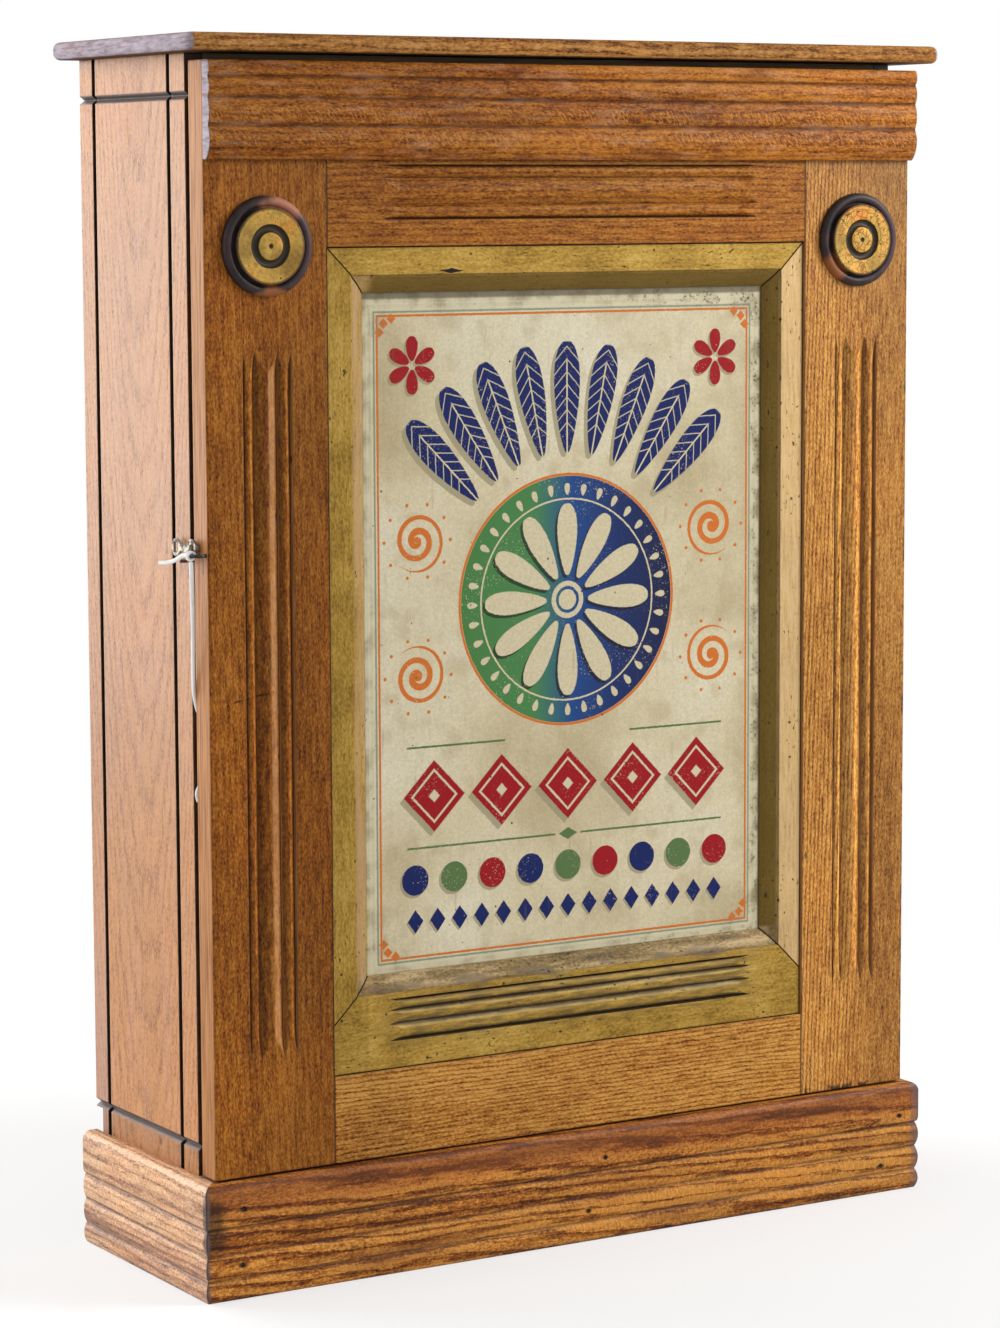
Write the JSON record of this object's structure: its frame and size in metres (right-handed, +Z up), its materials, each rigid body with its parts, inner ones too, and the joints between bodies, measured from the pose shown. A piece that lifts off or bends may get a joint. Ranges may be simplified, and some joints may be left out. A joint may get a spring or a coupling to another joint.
{
  "type": "counter-top dye cabinet",
  "caption": "Antique oak counter-top dye cabinet: shallow case of pigeonholes behind a hinged panelled door with a framed tin sign, rosettes, reeding, catch and string.",
  "frame": {"origin": "middle of the overall box, on the surface that the plinth stands on", "axes": "+X to the right seen from the front, +Y to the back, +Z up; the door faces -Y"},
  "size_m": [0.5466, 0.19, 0.76],
  "materials": {
    "oak_side": "worn matt oak",
    "oak_top": "worn matt oak",
    "oak_door": "worn satin varnish",
    "oak_frieze": "worn satin varnish",
    "oak_plinth": "worn satin varnish",
    "pine_inner": "bare",
    "pine_back": "bare, darkened",
    "ebonised": "ebonised with a gilt face",
    "gilt": "aged gilt paint",
    "printed_tin": "aged lithographed tin",
    "pulp_board": "matt",
    "brass_hinge": "tarnished",
    "steel": "dull",
    "black_iron": "black, dull",
    "cotton": "limp cotton string"
  },
  "bodies": {
    "case": {"case_side_left": "oak_side", "case_side_right": "oak_side", "top_slab": "oak_top", "base_front_moulding": "oak_plinth", "base_left_moulding": "oak_plinth", "base_right_moulding": "oak_plinth", "inner_top_board": "pine_inner", "bottom_board": "pine_inner", "base_front_rail": "pine_inner", "base_back_rail": "pine_inner", "glue_blocks": "pine_inner", "shelf_1": "pine_inner", "shelf_2": "pine_inner", "shelf_3": "pine_inner", "shelf_4": "pine_inner", "shelf_5": "pine_inner", "shelf_6": "pine_inner", "divider_1": "pine_inner", "divider_2": "pine_inner", "divider_3": "pine_inner", "back_board_1": "pine_back", "back_board_2": "pine_back", "back_board_3": "pine_back", "hinge_upper_case_leaf": "brass_hinge", "hinge_lower_case_leaf": "brass_hinge", "hinge_upper_pin": "brass_hinge", "hinge_lower_pin": "brass_hinge", "hinge_screws_case": "brass_hinge", "keeper_pin": "steel", "slab_screws": "steel", "base_nails": "black_iron"},
    "door": {"door_stile_left": "oak_door", "door_stile_right": "oak_door", "door_top_rail": "oak_door", "door_bottom_rail": "oak_door", "frieze_moulding": "oak_frieze", "rosette_left": "ebonised", "rosette_right": "ebonised", "gilt_frame_top": "gilt", "gilt_frame_bottom": "gilt", "gilt_frame_left": "gilt", "gilt_frame_right": "gilt", "tin_panel": "printed_tin", "backing_board": "pulp_board", "backing_strips": "pine_inner", "hinge_upper_door_leaf": "brass_hinge", "hinge_lower_door_leaf": "brass_hinge", "hinge_screws_door": "brass_hinge", "catch_washer": "steel", "catch_screw": "steel", "iron_hook": "black_iron", "string_knot": "cotton", "string_tail": "cotton", "string_short_end": "cotton"},
    "catch_lever": {"catch_lever": "steel"}
  },
  "joints": [
    {"name": "door_hinge", "type": "hinge", "parent": "case", "child": "door", "pos_m": [0.2616, -0.0606, 0.4], "axis": [0, 0, 1], "range_deg": [0, 180]},
    {"name": "catch_turn", "type": "hinge", "parent": "door", "child": "catch_lever", "pos_m": [-0.261, -0.0665, 0.4565], "axis": [1, 0, 0], "range_deg": [-14, 95]}
  ]
}
